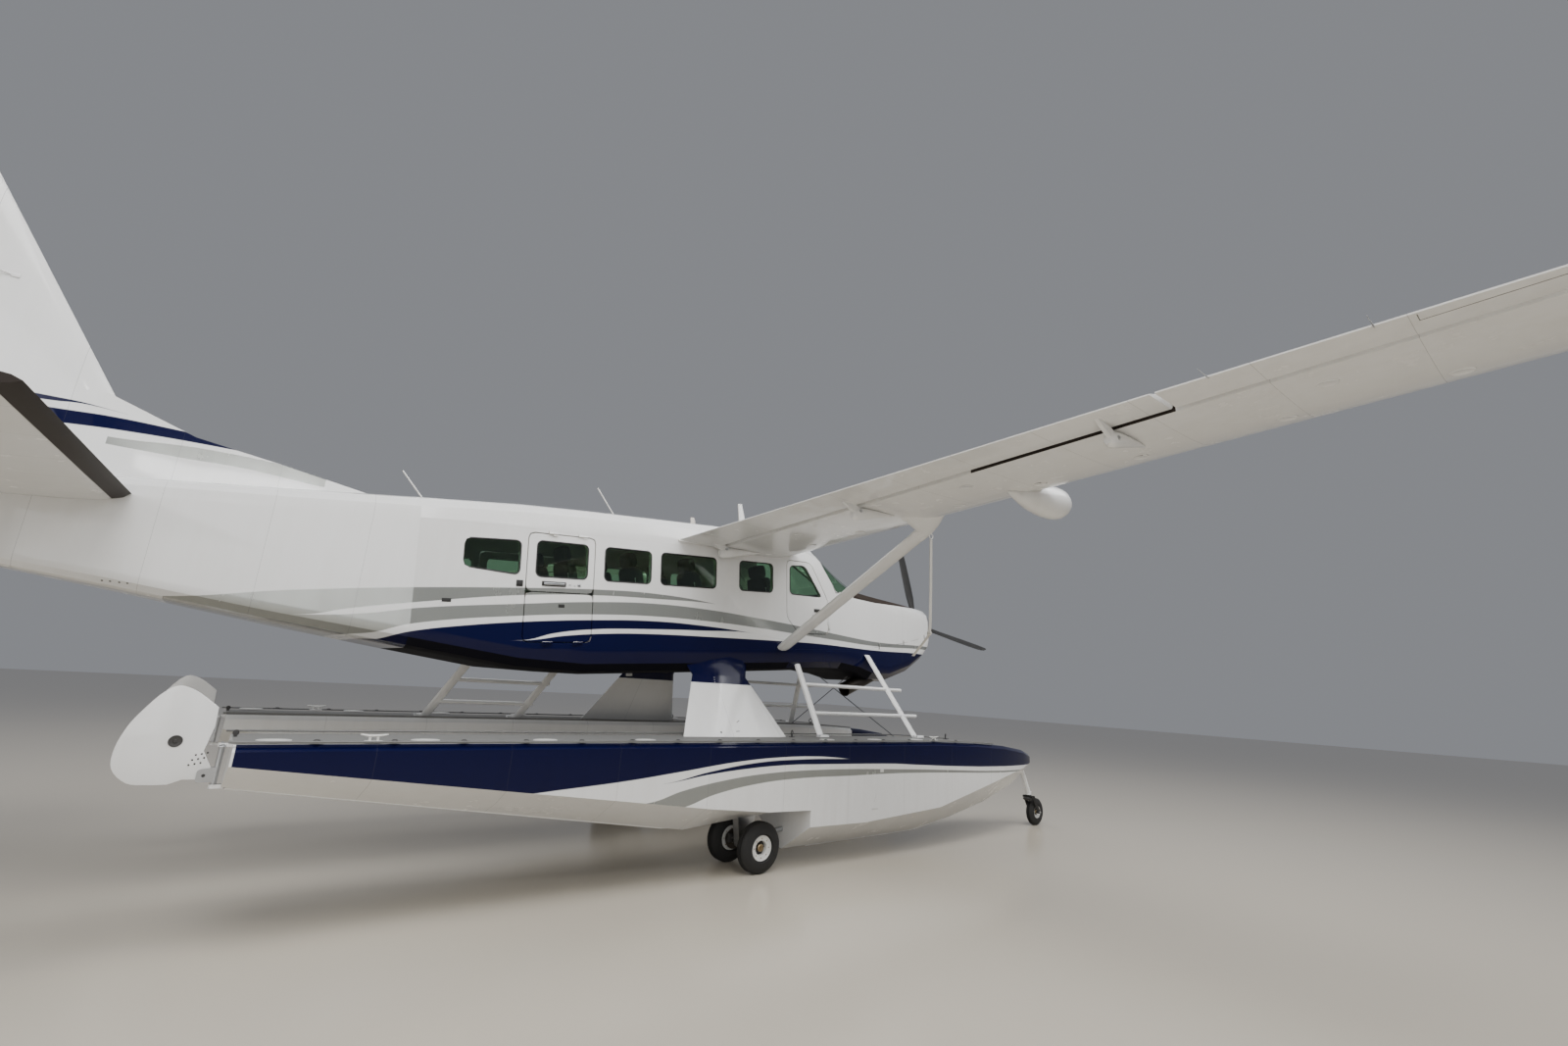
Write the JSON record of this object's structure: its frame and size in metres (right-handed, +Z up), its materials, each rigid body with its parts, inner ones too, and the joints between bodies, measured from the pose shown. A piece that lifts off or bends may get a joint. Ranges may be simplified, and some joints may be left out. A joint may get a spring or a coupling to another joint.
{
  "type": "amphibious floatplane",
  "caption": "High-wing single-propeller utility aircraft on two wheeled floats, with hollow cabin, hinged doors, moving control surfaces and turning wheels.",
  "frame": {"origin": "on the ground, at the middle of the object's box", "axes": "+X to the nose, +Y to the left wing tip, +Z up"},
  "size_m": [12.7813, 15.88, 5.2326],
  "materials": {
    "white_paint": "gloss white aircraft paint",
    "navy_paint": "gloss navy paint with white and grey lines",
    "black_paint": "satin black paint",
    "polished_metal": "polished metal",
    "bare_metal": "brushed bare metal",
    "engine_steel": "dull steel, stained by heat",
    "strap_cloth": "woven white webbing",
    "tyre_rubber": "black tyre rubber on painted hubs",
    "seat_fabric": "dark woven cabin fabric",
    "tinted_glass": "green tinted acrylic"
  },
  "bodies": {
    "airframe": {"cabin_belly": "navy_paint", "cabin_roof": "white_paint", "cabin_wall_left": "white_paint", "cabin_wall_right": "white_paint", "window_glass_left": "tinted_glass", "window_glass_right": "tinted_glass", "aft_window_glass_left": "tinted_glass", "aft_window_glass_right": "tinted_glass", "windshield": "tinted_glass", "cabin_interior": "seat_fabric", "cowl": "white_paint", "engine_block": "engine_steel", "wing_left": "white_paint", "wing_right": "white_paint", "wing_strut_left": "white_paint", "wing_strut_right": "white_paint", "mooring_strap": "strap_cloth", "tail_cone": "white_paint", "fin": "white_paint", "stabilizer": "white_paint", "float_left": "navy_paint", "float_right": "navy_paint", "main_leg_left": "white_paint", "main_leg_right": "white_paint", "nose_leg_left": "white_paint", "nose_leg_right": "white_paint", "float_pylon_left": "white_paint", "float_pylon_right": "white_paint", "front_float_struts_left": "white_paint", "front_float_struts_right": "white_paint", "aft_ladder": "white_paint", "brace_wires": "bare_metal"},
    "propeller": {"propeller": "black_paint", "spinner": "polished_metal"},
    "crew_door_left": {"crew_door_left": "white_paint", "crew_door_glass_left": "tinted_glass"},
    "crew_door_right": {"crew_door_right": "white_paint", "crew_door_glass_right": "tinted_glass"},
    "passenger_door_upper": {"passenger_door_upper": "white_paint", "passenger_door_glass": "tinted_glass"},
    "passenger_door_lower": {"passenger_door_lower": "navy_paint"},
    "cargo_door_upper": {"cargo_door_upper": "white_paint", "cargo_door_glass": "tinted_glass"},
    "cargo_door_lower": {"cargo_door_lower": "navy_paint"},
    "flap_left": {"flap_left": "white_paint"},
    "flap_right": {"flap_right": "white_paint"},
    "aileron_left": {"aileron_left": "white_paint"},
    "aileron_right": {"aileron_right": "white_paint"},
    "rudder": {"rudder": "white_paint"},
    "elevators": {"elevators": "white_paint"},
    "main_wheels_left": {"main_wheels_left": "tyre_rubber"},
    "nose_fork_left": {"nose_fork_left": "black_paint"},
    "nose_wheel_left": {"nose_wheel_left": "tyre_rubber"},
    "water_rudder_post_left": {"water_rudder_post_left": "bare_metal"},
    "water_rudder_left": {"water_rudder_left": "white_paint"},
    "main_wheels_right": {"main_wheels_right": "tyre_rubber"},
    "nose_fork_right": {"nose_fork_right": "black_paint"},
    "nose_wheel_right": {"nose_wheel_right": "tyre_rubber"},
    "water_rudder_post_right": {"water_rudder_post_right": "bare_metal"},
    "water_rudder_right": {"water_rudder_right": "white_paint"}
  },
  "joints": [
    {"name": "propeller_spin", "type": "hinge", "parent": "airframe", "child": "propeller", "pos_m": [5.03378, 0, 2.88047], "axis": [0.9969, 0, 0.0787], "continuous": true},
    {"name": "crew_door_left_hinge", "type": "hinge", "parent": "airframe", "child": "crew_door_left", "pos_m": [2.38297, 0.74989, 2.69723], "axis": [0.0787, 0, -0.9969], "range_deg": [0, 80]},
    {"name": "crew_door_right_hinge", "type": "hinge", "parent": "airframe", "child": "crew_door_right", "pos_m": [2.38297, -0.74989, 2.69723], "axis": [-0.0787, 0, 0.9969], "range_deg": [0, 80]},
    {"name": "passenger_door_upper_hinge", "type": "hinge", "parent": "airframe", "child": "passenger_door_upper", "pos_m": [-1.26856, -0.818, 3.08098], "axis": [-0.9969, 0, -0.0787], "range_deg": [0, 85]},
    {"name": "passenger_door_lower_hinge", "type": "hinge", "parent": "airframe", "child": "passenger_door_lower", "pos_m": [-1.18685, -0.824, 2.0462], "axis": [0.9969, 0, 0.0787], "range_deg": [0, 100]},
    {"name": "cargo_door_upper_hinge", "type": "hinge", "parent": "airframe", "child": "cargo_door_upper", "pos_m": [-0.92962, 0.818, 3.10775], "axis": [0.9969, 0, 0.0787], "range_deg": [0, 85]},
    {"name": "cargo_door_lower_hinge", "type": "hinge", "parent": "airframe", "child": "cargo_door_lower", "pos_m": [-0.18836, 0.824, 2.35877], "axis": [0.0787, 0, -0.9969], "range_deg": [0, 100]},
    {"name": "flap_left_pivot", "type": "hinge", "parent": "airframe", "child": "flap_left", "pos_m": [0.53535, 0.85, 3.22945], "axis": [0.0038, -0.9988, -0.0481], "range_deg": [0, 30]},
    {"name": "flap_right_pivot", "type": "hinge", "parent": "airframe", "child": "flap_right", "pos_m": [0.53535, -0.85, 3.22945], "axis": [-0.0038, -0.9988, 0.0481], "range_deg": [0, 30]},
    {"name": "aileron_left_hinge", "type": "hinge", "parent": "airframe", "child": "aileron_left", "pos_m": [0.48075, 5.73, 3.58211], "axis": [-0.0033, -0.9988, -0.0481], "range_deg": [-25, 16]},
    {"name": "aileron_right_hinge", "type": "hinge", "parent": "airframe", "child": "aileron_right", "pos_m": [0.48075, -5.73, 3.58211], "axis": [0.0033, -0.9988, 0.0481], "range_deg": [-25, 16]},
    {"name": "rudder_hinge", "type": "hinge", "parent": "airframe", "child": "rudder", "pos_m": [-5.43506, 0, 2.49117], "axis": [-0.204, 0, 0.979], "range_deg": [-25, 25]},
    {"name": "elevator_hinge", "type": "hinge", "parent": "airframe", "child": "elevators", "pos_m": [-5.18897, 0, 2.80451], "axis": [0, -1, 0], "range_deg": [-25, 20]},
    {"name": "main_wheels_left_spin", "type": "hinge", "parent": "airframe", "child": "main_wheels_left", "pos_m": [0.77124, 1.346, 0.236], "axis": [0, 1, 0], "continuous": true},
    {"name": "nose_fork_left_caster", "type": "hinge", "parent": "airframe", "child": "nose_fork_left", "pos_m": [6.05124, 1.346, 0.43], "axis": [0, 0, 1], "range_deg": [-60, 60]},
    {"name": "nose_wheel_left_spin", "type": "hinge", "parent": "nose_fork_left", "child": "nose_wheel_left", "pos_m": [6.20224, 1.346, 0.187], "axis": [0, 1, 0], "continuous": true},
    {"name": "water_rudder_left_steer", "type": "hinge", "parent": "airframe", "child": "water_rudder_post_left", "pos_m": [-3.51376, 1.346, 1.06], "axis": [0, 0, 1], "range_deg": [-30, 30]},
    {"name": "water_rudder_left_lift", "type": "hinge", "parent": "water_rudder_post_left", "child": "water_rudder_left", "pos_m": [-3.57376, 1.346, 1], "axis": [0, -1, 0], "range_deg": [0, 95]},
    {"name": "main_wheels_right_spin", "type": "hinge", "parent": "airframe", "child": "main_wheels_right", "pos_m": [0.77124, -1.346, 0.236], "axis": [0, 1, 0], "continuous": true},
    {"name": "nose_fork_right_caster", "type": "hinge", "parent": "airframe", "child": "nose_fork_right", "pos_m": [6.05124, -1.346, 0.43], "axis": [0, 0, 1], "range_deg": [-60, 60]},
    {"name": "nose_wheel_right_spin", "type": "hinge", "parent": "nose_fork_right", "child": "nose_wheel_right", "pos_m": [6.20224, -1.346, 0.187], "axis": [0, 1, 0], "continuous": true},
    {"name": "water_rudder_right_steer", "type": "hinge", "parent": "airframe", "child": "water_rudder_post_right", "pos_m": [-3.51376, -1.346, 1.06], "axis": [0, 0, 1], "range_deg": [-30, 30]},
    {"name": "water_rudder_right_lift", "type": "hinge", "parent": "water_rudder_post_right", "child": "water_rudder_right", "pos_m": [-3.57376, -1.346, 1], "axis": [0, -1, 0], "range_deg": [0, 95]}
  ]
}
